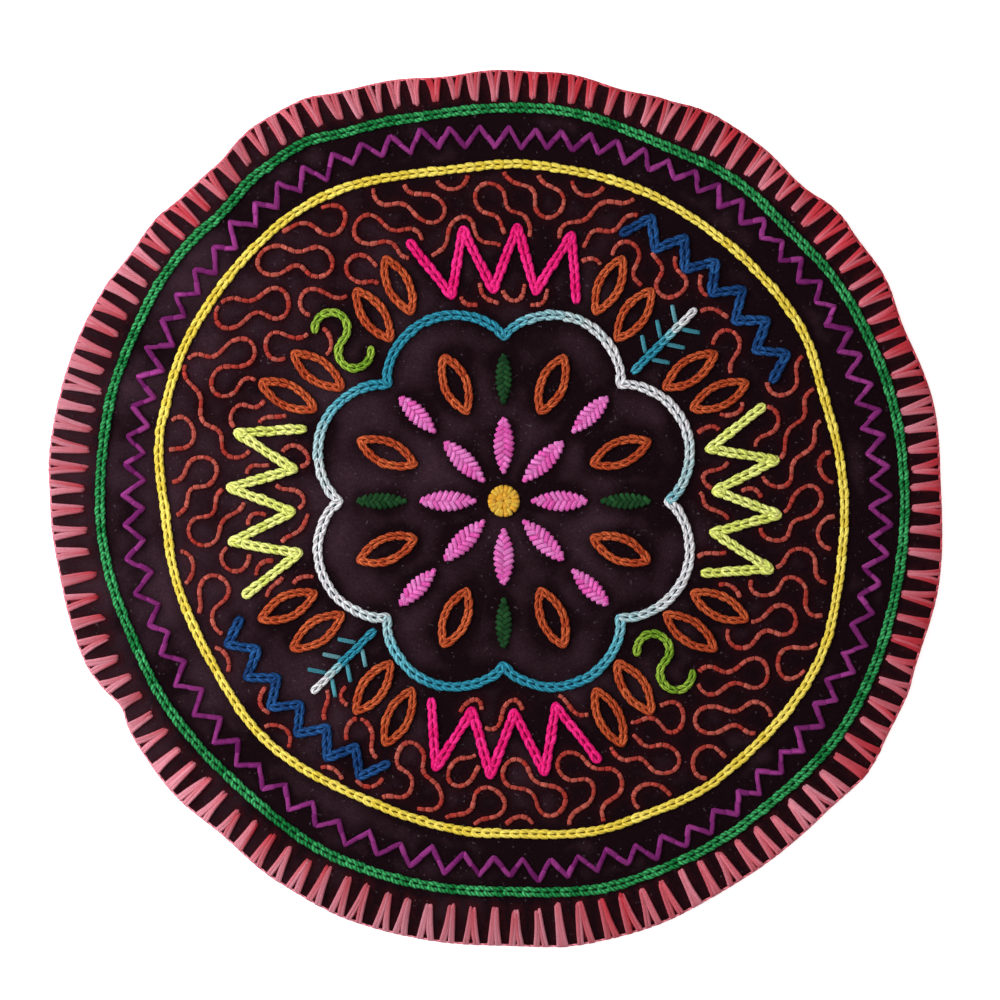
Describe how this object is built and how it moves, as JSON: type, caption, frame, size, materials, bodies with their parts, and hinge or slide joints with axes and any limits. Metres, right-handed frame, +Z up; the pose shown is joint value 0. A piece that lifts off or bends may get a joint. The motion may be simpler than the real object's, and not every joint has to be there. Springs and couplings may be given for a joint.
{
  "type": "embroidered round cotton mat",
  "caption": "Small round black cotton mat, embroidered with a flower, leaves and zigzags inside stitched rings, with a blanket-stitch edging and a softly waved rim.",
  "frame": {"origin": "on the table under the middle of the rim, in the plane of the flat underside", "axes": "+Z up out of the embroidered face, +Y towards the top of the design as shown, +X to its right"},
  "size_m": [0.2828, 0.2777, 0.0066],
  "materials": {
    "cloth": "black cotton weave, matt",
    "salmon_yarn": "salmon-pink cotton floss, soft sheen",
    "green_yarn": "green cotton floss, soft sheen",
    "purple_yarn": "purple cotton floss, soft sheen",
    "yellow_yarn": "yellow wool-like yarn, fuzzy",
    "gold_yarn": "golden floss, satin",
    "pink_yarn": "pink floss, satin",
    "rust_yarn": "rust cotton floss, soft sheen",
    "leaf_green_yarn": "dark green cotton floss, soft sheen",
    "turquoise_yarn": "turquoise floss that fades to white, soft sheen",
    "neon_yarn": "neon yellow-green yarn, soft sheen",
    "hot_pink_yarn": "hot pink yarn, soft sheen",
    "blue_yarn": "royal blue yarn, soft sheen",
    "lime_yarn": "lime green yarn, soft sheen"
  },
  "bodies": {
    "root": {"cloth_round": "cloth", "edging_blanket_stitch": "salmon_yarn", "ring_green_chain": "green_yarn", "ring_purple_zigzag": "purple_yarn", "ring_yellow_chain": "yellow_yarn", "flower_heart": "gold_yarn", "rosette_outline": "turquoise_yarn", "petal_1": "pink_yarn", "petal_2": "pink_yarn", "petal_3": "pink_yarn", "petal_4": "pink_yarn", "petal_5": "pink_yarn", "petal_6": "pink_yarn", "petal_7": "pink_yarn", "petal_8": "pink_yarn", "petal_outer_1": "pink_yarn", "petal_outer_2": "pink_yarn", "petal_outer_3": "pink_yarn", "petal_outer_4": "pink_yarn", "leaf_inner_1": "rust_yarn", "leaf_inner_2": "rust_yarn", "leaf_inner_3": "rust_yarn", "leaf_inner_4": "rust_yarn", "leaf_inner_5": "rust_yarn", "leaf_inner_6": "rust_yarn", "leaf_inner_7": "rust_yarn", "leaf_inner_8": "rust_yarn", "leaf_green_1": "leaf_green_yarn", "leaf_green_2": "leaf_green_yarn", "leaf_green_3": "leaf_green_yarn", "leaf_green_4": "leaf_green_yarn", "leaf_left_1": "rust_yarn", "leaf_left_2": "rust_yarn", "leaf_left_3": "rust_yarn", "leaf_left_4": "rust_yarn", "leaf_right_1": "rust_yarn", "leaf_right_2": "rust_yarn", "leaf_right_3": "rust_yarn", "leaf_right_4": "rust_yarn", "leaf_left_outer_1": "rust_yarn", "leaf_left_outer_2": "rust_yarn", "leaf_left_outer_3": "rust_yarn", "leaf_left_outer_4": "rust_yarn", "leaf_right_outer_1": "rust_yarn", "leaf_right_outer_2": "rust_yarn", "leaf_right_outer_3": "rust_yarn", "leaf_right_outer_4": "rust_yarn", "stem_1": "turquoise_yarn", "stem_2": "turquoise_yarn", "zigzag_neon_1": "neon_yarn", "zigzag_neon_2": "neon_yarn", "zigzag_blue_1": "blue_yarn", "zigzag_blue_2": "blue_yarn", "zigzag_pink_1": "hot_pink_yarn", "zigzag_pink_2": "hot_pink_yarn", "scroll_1": "lime_yarn", "scroll_2": "lime_yarn"}
  },
  "joints": []
}
